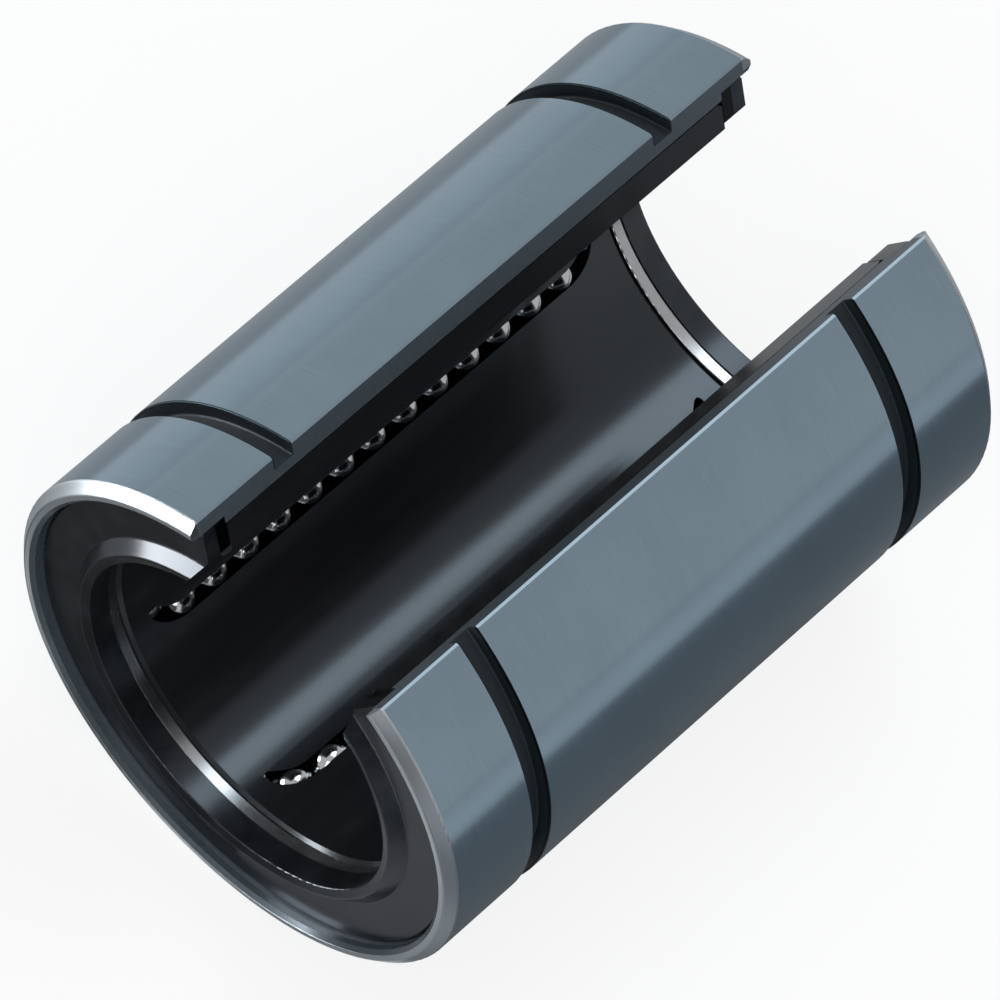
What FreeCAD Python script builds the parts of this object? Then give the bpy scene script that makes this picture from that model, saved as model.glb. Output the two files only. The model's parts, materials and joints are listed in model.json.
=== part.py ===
import FreeCAD, Part
import math
import os

# Open-type linear ball bearing.
# The axis lies along X, with the origin on the axis at half length.
# The slot faces +Z. Angles are measured about the axis from the middle of the slot towards +Y.
# Millimetres and degrees throughout.

# Main sizes
shaft_diameter = 35.0
ball_diameter = 3.969
sleeve_wall = 4.446
bearing_length = 70.0
opening_angle = 51.0
throat_width = 17.0
throat_flare = 12.0
circuit_count = 5
circuit_shift = 2.4
circuit_stagger = 0.5

# Outer cylinder
ring_groove_span = 49.5
ring_groove_width = 2.1
ring_groove_depth = 1.5
groove_edge_rounding = 0.12
groove_floor_rounding = 0.2
end_chamfer = 0.9
chamfer_rounding = 0.3
rim_inner_chamfer = 0.4
slot_edge_bevel = 0.22
seat_step = 0.9
land_width = 7.0
land_ramp_length = 1.6

# Retainer
retainer_bore_chamfer = 0.4
retainer_outer_chamfer = 0.5
retainer_lip_rounding = 0.25
retainer_end_wall = 0.45

# Side rings and seals
side_ring_thickness = 1.2
side_ring_rounding = 0.12
seal_flange_thickness = 1.45
seal_lip_height = 1.2
seal_lip_width = 2.15
seal_lip_crest = 0.9
seal_rounding = 0.3
seal_throat_relief = 0.3
end_recess = 0.1

# Clearances
ball_shaft_clearance = 0.005
ball_land_clearance = 0.08
ball_relief_clearance = 0.15
ball_run_gap = 0.08
ball_turn_gap = 0.05
channel_clearance = 0.08
retainer_shaft_clearance = 0.1
retainer_land_clearance = 0.15
retainer_relief_clearance = 0.15
retainer_end_clearance = 0.1
ring_shaft_clearance = 0.25
seal_shaft_clearance = 0.05
seat_clearance = 0.05

# Overrun of a cutting tool past the solid that it cuts, and how close a radius counts as the same
overrun = 1.0
match_tolerance = 0.001

# Radii, from the shaft outwards
shaft_radius = shaft_diameter / 2
ball_radius = ball_diameter / 2
load_radius = shaft_radius + ball_shaft_clearance + ball_radius
land_radius = load_radius + ball_radius + ball_land_clearance
outer_radius = land_radius + sleeve_wall

half_opening = opening_angle / 2

# Ball circuit: a flat oval, square to the radius through its load run.
# Each half-round turn holds three steps of a ball, so a turn's balls stand 60 degrees apart.
balls_per_turn = 3
turn_step = 180 / balls_per_turn
turn_radius = (ball_diameter + ball_turn_gap) / (2 * math.sin(math.radians(turn_step / 2)))
ball_pitch = ball_diameter + ball_run_gap
run_spacing = 2 * turn_radius
return_radius = math.hypot(load_radius, run_spacing)
circuit_width = math.degrees(math.atan2(run_spacing, load_radius))
channel_radius = ball_radius + channel_clearance

# The circuits share the sleeve evenly, all set over towards their load runs by the circuit shift
circuit_pitch = (360 - opening_angle) / circuit_count
first_load_angle = half_opening + (circuit_pitch + circuit_width) / 2 + circuit_shift
load_angles = [first_load_angle + circuit_pitch * i for i in range(circuit_count)]

# Bore of the outer cylinder: relieved for the return balls, with a raised land over each load run
relief_radius = return_radius + ball_radius + ball_relief_clearance
seat_radius = relief_radius + seat_step
groove_radius = outer_radius - ring_groove_depth
land_half_angle = math.degrees(land_width / 2 / land_radius)

# Retainer: it fills the relieved bore, with a pocket along it for each land
retainer_bore_radius = shaft_radius + retainer_shaft_clearance
retainer_outer_radius = relief_radius - retainer_relief_clearance
pocket_radius = land_radius - retainer_land_clearance
pocket_half_angle = land_half_angle + math.degrees(retainer_land_clearance / land_radius)

# Stations along the axis, each mirrored to the other end
end_face = bearing_length / 2
seal_thickness = seal_flange_thickness + seal_lip_height
seat_shoulder = end_face - end_recess - seal_thickness - side_ring_thickness
seal_inner_face = seat_shoulder + side_ring_thickness
retainer_end = seat_shoulder - retainer_end_clearance
room_for_runs = 2 * (retainer_end - retainer_end_wall - channel_radius - turn_radius)
balls_per_run = int(room_for_runs / ball_pitch)
run_end = balls_per_run * ball_pitch / 2
groove_outer_wall = ring_groove_span / 2
groove_inner_wall = groove_outer_wall - ring_groove_width

# The throat leaves the slot walls at its neck.
# The rounding of a lip keeps within the wall from there to the bore.
neck_radius = throat_width / 2 / math.sin(math.radians(half_opening))
lip_wall = abs(neck_radius - retainer_bore_radius)
lip_rounding = min(retainer_lip_rounding, lip_wall / 2)

origin = FreeCAD.Vector(0, 0, 0)
axis_x = FreeCAD.Vector(1, 0, 0)
axis_z = FreeCAD.Vector(0, 0, 1)


def radial(angle):
    """Unit vector square to the axis, at this angle from the middle of the slot."""
    turn = math.radians(angle)
    return FreeCAD.Vector(0, math.sin(turn), math.cos(turn))


def turned(shape, angle):
    """Copy of a shape, turned about the axis from the middle of the slot by this angle."""
    copy = shape.copy()
    copy.rotate(origin, axis_x, -angle)
    return copy


def rounded_corner(before, corner, after, rounding):
    """Start, middle and end of the arc that rounds one corner of an outline."""
    back = (before - corner).normalize()
    ahead = (after - corner).normalize()
    half_angle = back.getAngle(ahead) / 2
    inward = (back + ahead).normalize()
    reach = rounding / math.tan(half_angle)
    middle = corner + inward * (rounding / math.sin(half_angle) - rounding)
    return corner + back * reach, middle, corner + ahead * reach


def ring_sector(outline, start, sweep):
    """Part of a ring, turned from an outline of (x, radius, rounding) corners."""
    out = radial(start)
    corners = [axis_x * x + out * radius for x, radius, rounding in outline]
    arcs = []
    for i, (x, radius, rounding) in enumerate(outline):
        corner = corners[i]
        after = corners[(i + 1) % len(corners)]
        if rounding:
            arcs.append(rounded_corner(corners[i - 1], corner, after, rounding))
        else:
            arcs.append((corner,))
    edges = []
    for i, arc in enumerate(arcs):
        if len(arc) > 1:
            edges.append(Part.Arc(*arc).toShape())
        edges.append(Part.makeLine(arc[-1], arcs[(i + 1) % len(arcs)][0]))
    face = Part.Face(Part.Wire(edges))
    return face.revolve(origin, -axis_x, sweep)


def slotted_ring(outline, relief):
    """Ring inside the sleeve, level with its slot walls down to the throat and flared inside that."""
    ring = ring_sector(outline, half_opening, 360 - opening_angle)
    half_width = throat_width / 2 + relief
    neck = half_width / math.tan(math.radians(half_opening))
    flare = math.tan(math.radians(throat_flare))
    start = -(end_face + overrun)
    top = neck + overrun
    corners = [
        FreeCAD.Vector(start, half_width - overrun * flare, top),
        FreeCAD.Vector(start, half_width + neck * flare, 0),
        FreeCAD.Vector(start, -half_width - neck * flare, 0),
        FreeCAD.Vector(start, -half_width + overrun * flare, top),
    ]
    face = Part.Face(Part.makePolygon(corners + corners[:1]))
    return ring.cut(face.extrude(axis_x * (bearing_length + 2 * overrun)))


def mirrored_outline(half):
    """Outline of a ring that is alike at both ends, from the corners of its +X half."""
    return half + [(-x, radius, rounding) for x, radius, rounding in reversed(half)]


def end_outline(outline, side):
    """Outline at the +X end (side 1) or the -X end (side -1)."""
    return [(side * x, radius, rounding) for x, radius, rounding in outline]


def make_outer_cylinder():
    """Slotted sleeve with retaining-ring grooves, a relieved bore, raceway lands and end seats."""
    half = [
        (groove_inner_wall, outer_radius, groove_edge_rounding),
        (groove_inner_wall, groove_radius, groove_floor_rounding),
        (groove_outer_wall, groove_radius, groove_floor_rounding),
        (groove_outer_wall, outer_radius, groove_edge_rounding),
        (end_face - end_chamfer, outer_radius, chamfer_rounding),
        (end_face, outer_radius - end_chamfer, chamfer_rounding),
        (end_face, seat_radius + rim_inner_chamfer, 0),
        (end_face - rim_inner_chamfer, seat_radius, 0),
        (seat_shoulder, seat_radius, 0),
        (seat_shoulder, relief_radius, 0),
    ]
    sleeve = ring_sector(mirrored_outline(half), half_opening, 360 - opening_angle)
    sleeve = sleeve.multiFuse([make_land(angle) for angle in load_angles]).removeSplitter()
    return sleeve.cut([slot_edge_cut(side) for side in (1, -1)])


def make_land(angle):
    """Raised raceway over one load run, ramped at both ends and rooted in the sleeve's wall."""
    root_radius = (relief_radius + groove_radius) / 2
    half = [
        (run_end + land_ramp_length, root_radius, 0),
        (run_end + land_ramp_length, relief_radius, 0),
        (run_end, land_radius, 0),
    ]
    return ring_sector(mirrored_outline(half), angle - land_half_angle, 2 * land_half_angle)


def slot_edge_cut(side):
    """Bar that bevels one outside edge of the slot along its whole length."""
    angle = side * half_opening
    out = radial(angle)
    away = radial(angle + side * 90)
    start = axis_x * -(end_face + overrun)
    edge = start + out * outer_radius
    corners = [
        edge - out * slot_edge_bevel,
        edge + away * slot_edge_bevel,
        edge + away * slot_edge_bevel + out * overrun,
        edge - away * overrun + out * overrun,
        edge - away * overrun - out * slot_edge_bevel,
    ]
    face = Part.Face(Part.makePolygon(corners + corners[:1]))
    return face.extrude(axis_x * (bearing_length + 2 * overrun))


def make_channel():
    """Oval track of one circuit as a solid: round under the balls and open outwards."""
    top = retainer_outer_radius + overrun
    bottom = load_radius - channel_radius

    def section(x, y):
        left = FreeCAD.Vector(x, y - channel_radius, load_radius)
        low = FreeCAD.Vector(x, y, bottom)
        right = FreeCAD.Vector(x, y + channel_radius, load_radius)
        right_top = FreeCAD.Vector(x, y + channel_radius, top)
        left_top = FreeCAD.Vector(x, y - channel_radius, top)
        round_bottom = Part.Arc(left, low, right).toShape()
        sides = Part.makePolygon([right, right_top, left_top, left])
        return Part.Face(Part.Wire([round_bottom] + sides.Edges))

    run = axis_x * (2 * run_end)
    pieces = [section(-run_end, 0).extrude(run), section(-run_end, -run_spacing).extrude(run)]
    for side in (1, -1):
        centre = FreeCAD.Vector(side * run_end, -turn_radius, 0)
        pieces.append(section(side * run_end, 0).revolve(centre, -axis_z * side, 180))
    return pieces[0].multiFuse(pieces[1:]).removeSplitter()


def make_retainer():
    """Moulded cage: a slotted tube with a pocket for each land and an oval track for each circuit."""
    half = [
        (retainer_end - retainer_outer_chamfer, retainer_outer_radius, 0),
        (retainer_end, retainer_outer_radius - retainer_outer_chamfer, 0),
        (retainer_end, retainer_bore_radius + retainer_bore_chamfer, 0),
        (retainer_end - retainer_bore_chamfer, retainer_bore_radius, 0),
    ]
    tube = slotted_ring(mirrored_outline(half), 0)
    lips = [edge for edge in tube.Edges if is_slot_edge(edge, retainer_bore_radius)]
    tube = tube.makeFillet(lip_rounding, lips)
    channel = make_channel()
    tracks = [turned(channel, angle) for angle in load_angles]
    pockets = [make_pocket(angle) for angle in load_angles]
    return tube.cut(pockets + tracks)


def make_pocket(angle):
    """Room for one land along the whole retainer, so that it slides into the sleeve."""
    half = [
        (retainer_end + overrun, retainer_outer_radius + overrun, 0),
        (retainer_end + overrun, pocket_radius, 0),
    ]
    return ring_sector(mirrored_outline(half), angle - pocket_half_angle, 2 * pocket_half_angle)


def is_slot_edge(edge, radius):
    """True for a straight edge that runs along the axis at this radius."""
    ends = [vertex.Point for vertex in edge.Vertexes]
    along = len(ends) == 2 and abs(ends[0].x - ends[1].x) > bearing_length / 2
    return along and abs(math.hypot(ends[0].y, ends[0].z) - radius) < match_tolerance


def make_side_ring(side):
    """Thin steel ring against the seat's shoulder, which keeps the retainer in."""
    inner = shaft_radius + ring_shaft_clearance
    outer = seat_radius - seat_clearance
    outline = [
        (seat_shoulder, outer, 0),
        (seal_inner_face, outer, 0),
        (seal_inner_face, inner, side_ring_rounding),
        (seat_shoulder, inner, side_ring_rounding),
    ]
    return slotted_ring(end_outline(outline, side), seal_throat_relief)


def make_seal(side):
    """Moulded end seal: a flat flange in the seat and a raised lip beside the shaft."""
    bore = shaft_radius + seal_shaft_clearance
    outer = seat_radius - seat_clearance
    flange_face = seal_inner_face + seal_flange_thickness
    crest_face = flange_face + seal_lip_height
    outline = [
        (seal_inner_face, outer, 0),
        (flange_face, outer, seal_rounding),
        (flange_face, bore + seal_lip_width, seal_rounding),
        (crest_face, bore + seal_lip_crest, seal_rounding),
        (crest_face - seal_rounding, bore, seal_rounding / 2),
        (seal_inner_face, bore, 0),
    ]
    return slotted_ring(end_outline(outline, side), seal_throat_relief)


def ball(x, y):
    """Ball of a circuit whose load run lies straight above the axis."""
    return Part.makeSphere(ball_radius, FreeCAD.Vector(x, y, load_radius))


def run_balls(first, y):
    """Balls of a straight run, one pitch apart, from the x of the first."""
    return [ball(first + i * ball_pitch, y) for i in range(balls_per_run)]


def turn_balls(side, first_step):
    """Balls of the turn at the +X end (side 1) or the -X end (side -1)."""
    balls = []
    for i in range(balls_per_turn):
        swing = math.radians((first_step + i) * turn_step)
        x = side * (run_end + turn_radius * math.sin(swing))
        y = turn_radius * (math.cos(swing) - 1)
        balls.append(ball(x, y))
    return balls


def rest_step(number):
    """How far into its one-pitch step a circuit stands, staggered from one circuit to the next."""
    return circuit_stagger * (number % 2)


def make_circuit(step):
    """Groups of balls in one circuit, this share of the way through a one-pitch step towards +X."""
    return {
        "load_balls": run_balls(-run_end + step * ball_pitch, 0),
        "return_balls": run_balls(-run_end + (1 - step) * ball_pitch, -run_spacing),
        "rear_turn_balls": turn_balls(1, step),
        "front_turn_balls": turn_balls(-1, 1 - step),
    }


def main():
    os.makedirs("parts", exist_ok=True)
    pieces = {
        "outer_cylinder": make_outer_cylinder(),
        "retainer": make_retainer(),
        "front_side_ring": make_side_ring(-1),
        "rear_side_ring": make_side_ring(1),
        "front_seal": make_seal(-1),
        "rear_seal": make_seal(1),
    }
    for number, angle in enumerate(load_angles, start=1):
        for group, balls in make_circuit(rest_step(number)).items():
            placed = [turned(one, angle) for one in balls]
            pieces["circuit_%d_%s" % (number, group)] = Part.makeCompound(placed)
    for node, shape in pieces.items():
        shape.exportStep("parts/%s.step" % node)


main()
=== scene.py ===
import json
import math
from types import SimpleNamespace

import bpy
from mathutils import Matrix, Vector


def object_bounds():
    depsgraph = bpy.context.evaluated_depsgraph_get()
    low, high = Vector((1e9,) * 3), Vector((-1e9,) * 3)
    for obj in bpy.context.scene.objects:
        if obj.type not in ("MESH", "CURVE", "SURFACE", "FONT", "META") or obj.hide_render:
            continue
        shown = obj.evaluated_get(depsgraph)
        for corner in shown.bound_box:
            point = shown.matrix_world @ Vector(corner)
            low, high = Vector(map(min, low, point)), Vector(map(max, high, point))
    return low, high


# An open-type linear ball bearing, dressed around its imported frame.
# The bearing's axis lies along X, and its slot faces up (+Z).
# Lengths are metres, apart from names that end in MM and the places that finishes work with.

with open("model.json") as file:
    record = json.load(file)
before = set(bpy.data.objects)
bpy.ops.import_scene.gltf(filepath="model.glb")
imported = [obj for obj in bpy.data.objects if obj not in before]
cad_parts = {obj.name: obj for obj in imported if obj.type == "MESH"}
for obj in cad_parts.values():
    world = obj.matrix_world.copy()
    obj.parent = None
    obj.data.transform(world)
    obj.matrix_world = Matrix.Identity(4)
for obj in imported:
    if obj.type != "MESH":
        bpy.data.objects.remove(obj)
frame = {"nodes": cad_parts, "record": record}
cad_low, cad_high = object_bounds()
MM = 0.001
MICRON = 0.000001

# Camera: where it stands round the object, in degrees and metres, and how far it is rolled
CAMERA_AZIMUTH = -69.512
CAMERA_ELEVATION = 62.942
CAMERA_ROLL = 26.379
CAMERA_DISTANCE = 0.87930
CAMERA_AIM = Vector((-0.00113, -0.00005, -0.00055))
CAMERA_LENS_MM = 361.85
CAMERA_SENSOR_MM = 36.0
CAMERA_CLIP = (0.01, 20.0)

# Sizes in millimetres that the finishes follow
mounts = {mount["name"]: mount for mount in frame["record"]["mounts"]}
seat, groove = mounts["housing_seat"]["dims"], mounts["rear_ring_groove"]
OUTER_RADIUS_MM = seat["r_mm"]
SKIN_END_MM = seat["length_mm"] / 2
GROOVE_RADIUS_MM = groove["dims"]["r_mm"]
GROOVE_MIDDLE_MM = groove["pos_m"][0] / MM
GROOVE_INNER_WALL_MM = GROOVE_MIDDLE_MM - groove["dims"]["length_mm"] / 2
GROOVE_OUTER_WALL_MM = GROOVE_MIDDLE_MM + groove["dims"]["length_mm"] / 2
GROOVE_EDGE_MM = 0.12
SLOT_BEVEL_MM = 0.22
RIM_INNER_RADIUS_MM = 24.5

# Widths over which one finish passes into the next, in millimetres
SKIN_FADE_MM = 0.05
RIM_FADE_MM = 0.03
GROOVE_WALL_FADE_MM = 0.02
GROOVE_FLOOR_FADE_MM = 0.03

# Colours, linear
GROUND_STEEL = (0.245, 0.325, 0.385)
TURNED_STEEL = (0.44, 0.48, 0.51)
HEAT_SCALE = (0.016, 0.024, 0.030)
MILLED_SCALE = (0.076, 0.098, 0.118)
RING_STEEL = (0.46, 0.47, 0.48)
BALL_STEEL = (0.58, 0.59, 0.61)
# Painted shade for the ring's end faces at the slot
RING_END_SHADE = (0.020, 0.022, 0.024)
RETAINER_BLACK = (0.0095, 0.0100, 0.0115)
RETAINER_SHEEN = (0.81, 0.915, 1.0)
SEAL_BLACK = (0.0060, 0.0070, 0.0085)
SEAL_SHEEN = (0.82, 0.90, 1.0)
WHITE = (1.0, 1.0, 1.0)
COOL_WHITE = (0.86, 0.98, 1.07)
FLOOR_WHITE = (0.93, 0.93, 0.93)
CARD_BLACK = (0.10, 0.10, 0.10)
CARD_DARK = (0.20, 0.21, 0.22)
CARD_MIDDLE = (0.42, 0.43, 0.44)
CARD_PALE = (0.75, 0.76, 0.77)

# Share of the floor's white that doesn't depend on the light falling on it
FLOOR_GLOW = 0.80
# How far a card lies above what it covers
CARD_LIFT = 0.0002


def scaled(colour, factor):
    return tuple(factor * c for c in colour)


class Graph:
    """The nodes of one material or world, added and linked by short calls."""

    def __init__(self, tree):
        self.tree = tree
        tree.nodes.clear()

    def put(self, socket, value):
        """Links a socket to another, or sets its constant."""
        if isinstance(value, bpy.types.NodeSocket):
            self.tree.links.new(value, socket)
        elif isinstance(value, tuple) and len(value) == 3 and socket.type == "RGBA":
            socket.default_value = (*value, 1.0)
        else:
            socket.default_value = value

    def add(self, kind, inputs=None, **settings):
        """A new node, with its settings and the links or constants of its inputs."""
        node = self.tree.nodes.new(kind)
        for name, value in settings.items():
            setattr(node, name, value)
        for name, value in (inputs or {}).items():
            self.put(node.inputs[name], value)
        return node

    def math(self, operation, a, b=0.0, clamp=False):
        return self.add("ShaderNodeMath", {0: a, 1: b}, operation=operation, use_clamp=clamp).outputs[0]

    def plus(self, a, b):
        return self.math("ADD", a, b)

    def times(self, a, b):
        return self.math("MULTIPLY", a, b)

    def step(self, value, low, high):
        """0 below low, 1 above high, smooth between. With low above high it falls instead."""
        ends = {"Value": value, "From Min": low, "From Max": high}
        return self.add("ShaderNodeMapRange", ends, interpolation_type="SMOOTHSTEP").outputs[0]

    def scale(self, value, low, high):
        """A value from 0 to 1, spread from low to high."""
        return self.add("ShaderNodeMapRange", {"Value": value, "To Min": low, "To Max": high}).outputs[0]

    def mix(self, share, a, b):
        """Colour a where share is 0, b where it is 1."""
        node = self.add("ShaderNodeMix", data_type="RGBA")
        self.put(node.inputs[0], share)
        self.put(node.inputs[6], a)
        self.put(node.inputs[7], b)
        return node.outputs[2]

    def shades(self, share, colour, low, high):
        """Shades of one colour: low times it where share is 0, high times it where share is 1."""
        return self.mix(share, scaled(colour, low), scaled(colour, high))

    def blend(self, share, a, b):
        """Number a where share is 0, b where it is 1."""
        node = self.add("ShaderNodeMix", data_type="FLOAT")
        self.put(node.inputs[0], share)
        self.put(node.inputs[2], a)
        self.put(node.inputs[3], b)
        return node.outputs[0]

    def vector(self, x, y, z):
        return self.add("ShaderNodeCombineXYZ", {"X": x, "Y": y, "Z": z}).outputs[0]

    def noise(self, place, scale, detail=2.0, roughness=0.5):
        inputs = {"Vector": place, "Scale": scale, "Detail": detail, "Roughness": roughness}
        return self.add("ShaderNodeTexNoise", inputs).outputs["Fac"]

    def streaks(self, first, first_rate, second, second_rate, third=0.0, detail=2.0, roughness=0.5):
        """Noise drawn out one way: each rate is how fast it varies per millimetre of its measure."""
        place = self.vector(self.times(first, first_rate), self.times(second, second_rate), third)
        return self.noise(place, 1.0, detail, roughness)

    def bump(self, height, distance, strength, normal=None):
        inputs = {"Height": height, "Distance": distance, "Strength": strength}
        if normal is not None:
            inputs["Normal"] = normal
        return self.add("ShaderNodeBump", inputs).outputs[0]


def new_material(name):
    material = bpy.data.materials.new(name)
    material.use_nodes = True
    return material, Graph(material.node_tree)


def surface(graph, **inputs):
    """A Principled shader on the material's output. Underscores in the names stand for spaces."""
    named = {name.replace("_", " "): value for name, value in inputs.items()}
    shader = graph.add("ShaderNodeBsdfPrincipled", named)
    graph.add("ShaderNodeOutputMaterial", {"Surface": shader.outputs[0]})


def find_place(graph):
    """Where a point is on its node, in millimetres: as a vector, x, y, z, radius and arc length."""
    coordinates = graph.add("ShaderNodeTexCoord").outputs["Object"]
    to_mm = {0: coordinates, 1: (1 / MM,) * 3}
    place = graph.add("ShaderNodeVectorMath", to_mm, operation="MULTIPLY").outputs[0]
    x, y, z = graph.add("ShaderNodeSeparateXYZ", {0: place}).outputs
    radius = graph.math("SQRT", graph.plus(graph.times(y, y), graph.times(z, z)))
    arc = graph.times(graph.math("ARCTAN2", y, z), OUTER_RADIUS_MM)
    return SimpleNamespace(place=place, x=x, y=y, z=z, radius=radius, arc=arc)


def make_sleeve_steel():
    """Ground outside, dark hardened slot walls and grooves, and turned ends."""
    material, g = new_material("ground_steel")
    at = find_place(g)
    reach = g.math("ABSOLUTE", at.x)

    # Where each finish lies: 1 on it, 0 off it
    skin_depth = OUTER_RADIUS_MM - SLOT_BEVEL_MM
    below_skin = g.step(at.radius, skin_depth, skin_depth - SKIN_FADE_MM)
    at_end = g.step(reach, SKIN_END_MM, SKIN_END_MM + SKIN_FADE_MM)
    round_seal = g.step(at.radius, RIM_INNER_RADIUS_MM - RIM_FADE_MM, RIM_INNER_RADIUS_MM)
    on_rim = g.times(at_end, round_seal)
    inner_edge = GROOVE_INNER_WALL_MM - GROOVE_EDGE_MM
    outer_edge = GROOVE_OUTER_WALL_MM + GROOVE_EDGE_MM
    past_inner = g.step(reach, inner_edge - GROOVE_WALL_FADE_MM, inner_edge)
    before_outer = g.step(reach, outer_edge + GROOVE_WALL_FADE_MM, outer_edge)
    under_floor = GROOVE_RADIUS_MM - GROOVE_FLOOR_FADE_MM
    from_floor = g.step(at.radius, under_floor - GROOVE_FLOOR_FADE_MM, under_floor)
    in_groove = g.times(g.times(past_inner, before_outer), from_floor)

    # Grinding lines run round the sleeve, so they vary fast along x and slowly along the arc
    fine = g.streaks(at.x, 14.0, at.arc, 0.16, detail=3.0, roughness=0.6)
    coarse = g.streaks(at.x, 1.7, at.arc, 0.035)
    # Faint flats left by the grinding wheel run along the sleeve
    flats = g.streaks(at.x, 0.02, at.arc, 0.9, roughness=0.45)
    cloud = g.noise(at.place, scale=0.13, detail=3.0)
    speck = g.noise(at.place, scale=2.2, detail=4.0, roughness=0.7)

    # Painted highlight: the crests of the fine grinding lines get a lighter copy of the steel colour, over up
    # to about a quarter of the tone
    crest_highlight_share = 0.26
    painted_crest_highlight = g.times(g.step(fine, 0.35, 0.75), crest_highlight_share)
    tone = g.shades(cloud, GROUND_STEEL, 0.90, 1.10)
    tone = g.mix(painted_crest_highlight, tone, scaled(GROUND_STEEL, 1.4))
    colour = g.mix(below_skin, tone, g.shades(speck, MILLED_SCALE, 0.7, 1.4))
    colour = g.mix(in_groove, colour, g.shades(speck, HEAT_SCALE, 0.6, 1.5))
    colour = g.mix(on_rim, colour, g.shades(coarse, TURNED_STEEL, 0.85, 1.15))

    chamfer_rough = 0.2
    rough = g.plus(g.scale(fine, 0.15, 0.21), g.scale(cloud, -0.02, 0.02))
    rough = g.blend(below_skin, rough, g.scale(speck, 0.36, 0.50))
    rough = g.blend(in_groove, rough, g.scale(speck, 0.40, 0.6))
    rough = g.blend(at_end, rough, chamfer_rough)
    rough = g.blend(on_rim, rough, g.scale(coarse, 0.34, 0.42))

    coarse_share = 0.6
    height = g.plus(fine, g.times(coarse, coarse_share))
    normal = g.bump(height, 2 * MICRON, 0.35, g.bump(flats, 20 * MICRON, 0.15))
    # Light spreads across the grinding lines, along the sleeve
    spread_way = g.vector(1.0, 0.0, 0.0)
    # The scale of the hardening is only part metal
    scale_cover = 0.6
    bare = g.math("SUBTRACT", 1.0, g.times(below_skin, scale_cover))
    bare = g.math("MAXIMUM", bare, on_rim)
    surface(g, Base_Color=colour, Metallic=bare, Roughness=rough, Normal=normal,
            Anisotropic=0.6, Tangent=spread_way)
    return material


def make_ring_steel():
    """Bright pressed steel: fine turning lines, a few handling marks, and painted shade on the end faces at
    the slot.
    """
    material, g = new_material("ring_steel_bright")
    at = find_place(g)
    # Painted shade: the end faces at the slot, which look neither along the axis nor away from it, are
    # coloured near black
    facing = g.add("ShaderNodeSeparateXYZ", {0: g.add("ShaderNodeTexCoord").outputs["Normal"]}).outputs
    outward = g.plus(g.times(facing["Y"], at.y), g.times(facing["Z"], at.z))
    outward = g.math("ABSOLUTE", g.math("DIVIDE", outward, at.radius))
    other_face = g.math("MAXIMUM", outward, g.math("ABSOLUTE", facing["X"]))
    shaded_end = g.step(other_face, 0.6, 0.5)

    lines = g.streaks(at.radius, 9.0, at.arc, 0.08, at.x, detail=3.0)
    marks = g.noise(at.place, scale=0.7, detail=4.0, roughness=0.65)
    colour = g.mix(shaded_end, g.shades(marks, RING_STEEL, 0.85, 1.1), RING_END_SHADE)
    rough = g.plus(g.scale(lines, 0.20, 0.30), g.scale(marks, -0.04, 0.04))
    normal = g.bump(lines, 2 * MICRON, 0.4)
    surface(g, Base_Color=colour, Metallic=1.0, Roughness=rough, Normal=normal)
    return material


def make_ball_steel():
    """Lapped balls: nearly mirror bright, with a faint film of oil."""
    material, g = new_material("ball_steel_lapped")
    at = find_place(g)
    film = g.noise(at.place, scale=0.9, detail=3.0)
    haze = g.noise(at.place, scale=6.0, detail=3.0, roughness=0.6)
    colour = g.shades(film, BALL_STEEL, 0.92, 1.05)
    rough = g.plus(g.scale(film, 0.04, 0.10), g.scale(haze, 0.0, 0.04))
    surface(g, Base_Color=colour, Metallic=1.0, Roughness=rough)
    return material


def make_retainer_plastic():
    """Moulded black resin: semi-gloss, with flow marks along the bore and a fine grain."""
    material, g = new_material("retainer_resin")
    at = find_place(g)
    flow = g.streaks(at.x, 0.10, at.arc, 0.8, at.radius, detail=3.0, roughness=0.55)
    grain = g.noise(at.place, scale=9.0, detail=3.0, roughness=0.6)
    colour = g.shades(flow, RETAINER_BLACK, 0.75, 1.5)
    rough = g.plus(g.scale(flow, 0.14, 0.20), g.scale(grain, -0.01, 0.02))
    normal = g.bump(grain, 3 * MICRON, 0.25, g.bump(flow, 10 * MICRON, 0.2))
    surface(g, Base_Color=colour, Roughness=rough, Normal=normal,
            Specular_IOR_Level=0.57, Specular_Tint=RETAINER_SHEEN)
    return material


def make_seal_rubber():
    """Moulded black rubber with a faint bloom, mould rings and a fine grain."""
    material, g = new_material("seal_rubber_moulded")
    at = find_place(g)
    bloom = g.noise(at.place, scale=0.35, detail=4.0, roughness=0.6)
    grain = g.noise(at.place, scale=7.0, detail=4.0, roughness=0.65)
    rings = g.streaks(at.radius, 5.0, at.arc, 0.05, at.x)
    colour = g.shades(g.step(bloom, 0.35, 0.8), SEAL_BLACK, 1.0, 2.4)
    rough = g.plus(g.scale(bloom, 0.17, 0.25), g.scale(grain, -0.03, 0.03))
    normal = g.bump(grain, 6 * MICRON, 0.3, g.bump(rings, 5 * MICRON, 0.3))
    surface(g, Base_Color=colour, Roughness=rough, Normal=normal,
            Specular_IOR_Level=0.55, Specular_Tint=SEAL_SHEEN)
    return material


def dress(materials):
    """Gives each node of the frame the finish of its material slot."""
    for node in frame["nodes"].values():
        slot = node.material_slots[0]
        slot.material = materials[slot.material.name]


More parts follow.
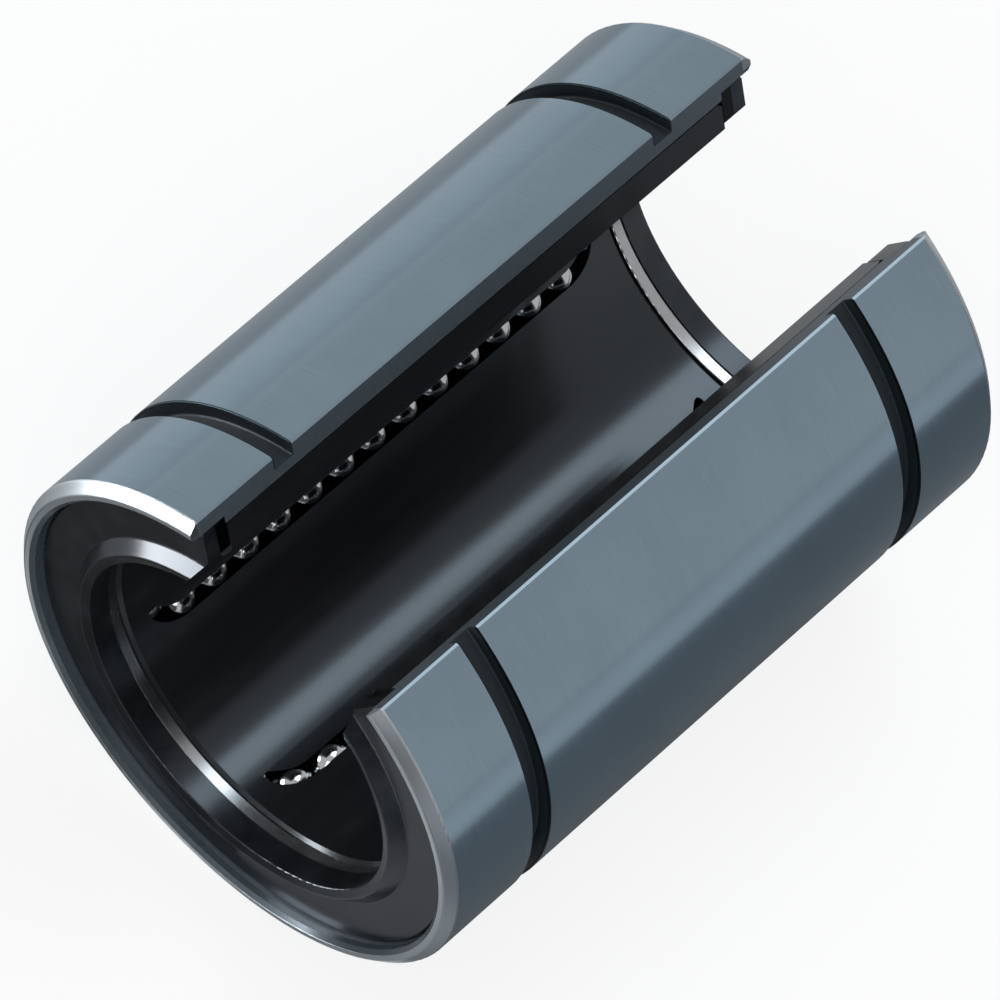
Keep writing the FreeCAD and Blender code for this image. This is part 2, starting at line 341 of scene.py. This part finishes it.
def paper(name, colour, glow=0.0):
    """Matte paper of the set. With a glow, part of it is plain white where it is seen or mirrored."""
    material, g = new_material(name)
    inputs = {"Base Color": colour, "Roughness": 0.9, "Specular IOR Level": 0.1}
    shader = g.add("ShaderNodeBsdfPrincipled", inputs).outputs[0]
    if glow:
        path = g.add("ShaderNodeLightPath").outputs
        seen = g.plus(path["Is Camera Ray"], path["Is Glossy Ray"])
        seen = g.math("ADD", seen, path["Is Transmission Ray"], clamp=True)
        white = g.add("ShaderNodeEmission", {"Color": WHITE, "Strength": 1.0}).outputs[0]
        share = g.times(seen, glow)
        shader = g.add("ShaderNodeMixShader", {0: share, 1: shader, 2: white}).outputs[0]
    g.add("ShaderNodeOutputMaterial", {"Surface": shader})
    return material


def card(name, size, centre, material, reflection_only=True, facing=None):
    """Flat plane of the set, face up or facing a way. Those that stand in for a room only show mirrored."""
    half_x, half_y = size[0] / 2, size[1] / 2
    corners = [(-half_x, -half_y, 0), (half_x, -half_y, 0), (half_x, half_y, 0), (-half_x, half_y, 0)]
    mesh = bpy.data.meshes.new(name)
    mesh.from_pydata(corners, [], [(0, 1, 2, 3)])
    plane = bpy.data.objects.new(name, mesh)
    bpy.context.scene.collection.objects.link(plane)
    turn = Vector(facing).to_track_quat("Z", "Y").to_matrix() if facing else Matrix.Identity(3)
    plane.matrix_world = Matrix.Translation(centre) @ turn.to_4x4()
    mesh.materials.append(material)
    if reflection_only:
        plane.visible_camera = plane.visible_diffuse = plane.visible_shadow = False


def softbox(name, size, place, aim, radiance, colour=WHITE, reflection_only=False):
    """Area light that faces a point. Radiance is what a mirror shows of it."""
    light = bpy.data.lights.new(name, "AREA")
    light.shape = "RECTANGLE"
    light.size, light.size_y = size
    light.energy = radiance * math.pi * size[0] * size[1]
    light.color = colour
    lamp = bpy.data.objects.new(name, light)
    bpy.context.scene.collection.objects.link(lamp)
    back = Vector(place) - Vector(aim)
    turn = back.to_track_quat("Z", "Y").to_matrix()
    lamp.matrix_world = Matrix.Translation(place) @ turn.to_4x4()
    lamp.visible_diffuse = not reflection_only


def make_world(horizon, zenith):
    """Plain studio surround: one grey at the horizon, another overhead."""
    world = bpy.data.worlds.new("studio")
    world.use_nodes = True
    bpy.context.scene.world = world
    g = Graph(world.node_tree)
    way = g.add("ShaderNodeTexCoord").outputs["Generated"]
    up = g.add("ShaderNodeSeparateXYZ", {0: way}).outputs["Z"]
    strength = g.blend(g.step(up, 0.1, 0.9), horizon, zenith)
    background = g.add("ShaderNodeBackground", {"Color": WHITE, "Strength": strength})
    g.add("ShaderNodeOutputWorld", {"Surface": background.outputs[0]})


def make_camera():
    """Camera at the photograph's angle: round the object, up, and rolled about its own line of sight."""
    azimuth, elevation = math.radians(CAMERA_AZIMUTH), math.radians(CAMERA_ELEVATION)
    level = math.cos(elevation)
    back = Vector((math.sin(azimuth) * level, -math.cos(azimuth) * level, math.sin(elevation)))
    roll = Matrix.Rotation(math.radians(CAMERA_ROLL), 3, "Z")
    turn = (-back).to_track_quat("-Z", "Y").to_matrix() @ roll
    data = bpy.data.cameras.new("camera")
    data.sensor_width = CAMERA_SENSOR_MM
    data.lens = CAMERA_LENS_MM
    data.clip_start, data.clip_end = CAMERA_CLIP
    camera = bpy.data.objects.new("camera", data)
    bpy.context.scene.collection.objects.link(camera)
    camera.matrix_world = Matrix.Translation(CAMERA_AIM + back * CAMERA_DISTANCE) @ turn.to_4x4()
    bpy.context.scene.camera = camera


dress({
    "bearing_steel": make_sleeve_steel(),
    "ring_steel": make_ring_steel(),
    "ball_steel": make_ball_steel(),
    "retainer_plastic": make_retainer_plastic(),
    "seal_rubber": make_seal_rubber(),
})

# The set: a white floor, and cards that the steel and the rubber mirror
floor = cad_low.z
on_floor = floor + CARD_LIFT
on_cards = floor + 2 * CARD_LIFT
flag_middle = floor + 0.096
card("floor", (6.0, 6.0), (0, 0, floor), paper("floor_paper", FLOOR_WHITE, FLOOR_GLOW), reflection_only=False)
card("right_near_card", (0.50, 0.124), (0.05, -0.086, on_floor), paper("dark_paper", CARD_DARK))
card("right_far_card", (3.0, 1.5), (0.05, -0.898, on_floor), paper("right_paper", CARD_PALE))
card("left_near_card", (0.50, 0.052), (0.05, 0.052, on_floor), paper("middle_paper", CARD_MIDDLE))
card("left_far_card", (3.0, 1.0), (0.05, 0.578, on_floor), paper("left_paper", CARD_PALE))
card("front_left_card", (0.0365, 0.050), (-0.05375, 0.021, on_cards), paper("black_paper", CARD_BLACK))
card("front_right_card", (0.0365, 0.046), (-0.05375, -0.027, on_cards), paper("front_paper", CARD_MIDDLE))
card("front_flag", (0.27, 0.19), (-0.30, -0.14, flag_middle), paper("flag_paper", CARD_BLACK),
     facing=(0.88, 0.47, 0))

# The light: a sky, two lamps, and two more that only metal and gloss show
make_world(horizon=0.64, zenith=0.60)
middle, near_end = (0, 0, 0), (-0.034, 0.014, 0.012)
softbox("overhead", (0.24, 0.34), (0.25, 0.13, 0.55), middle, radiance=3.7, colour=COOL_WHITE)
softbox("fill", (0.50, 0.50), (-0.45, -0.22, 0.56), middle, radiance=2.2)
softbox("left_front", (0.060, 0.080), (-0.090, 0.092, 0.006), near_end, radiance=15.0, reflection_only=True)
softbox("slot_edge", (0.22, 0.16), (0.277, 0.445, 0.386), middle, radiance=1.1, reflection_only=True)
make_camera()

bpy.context.scene.view_settings.view_transform = "Standard"
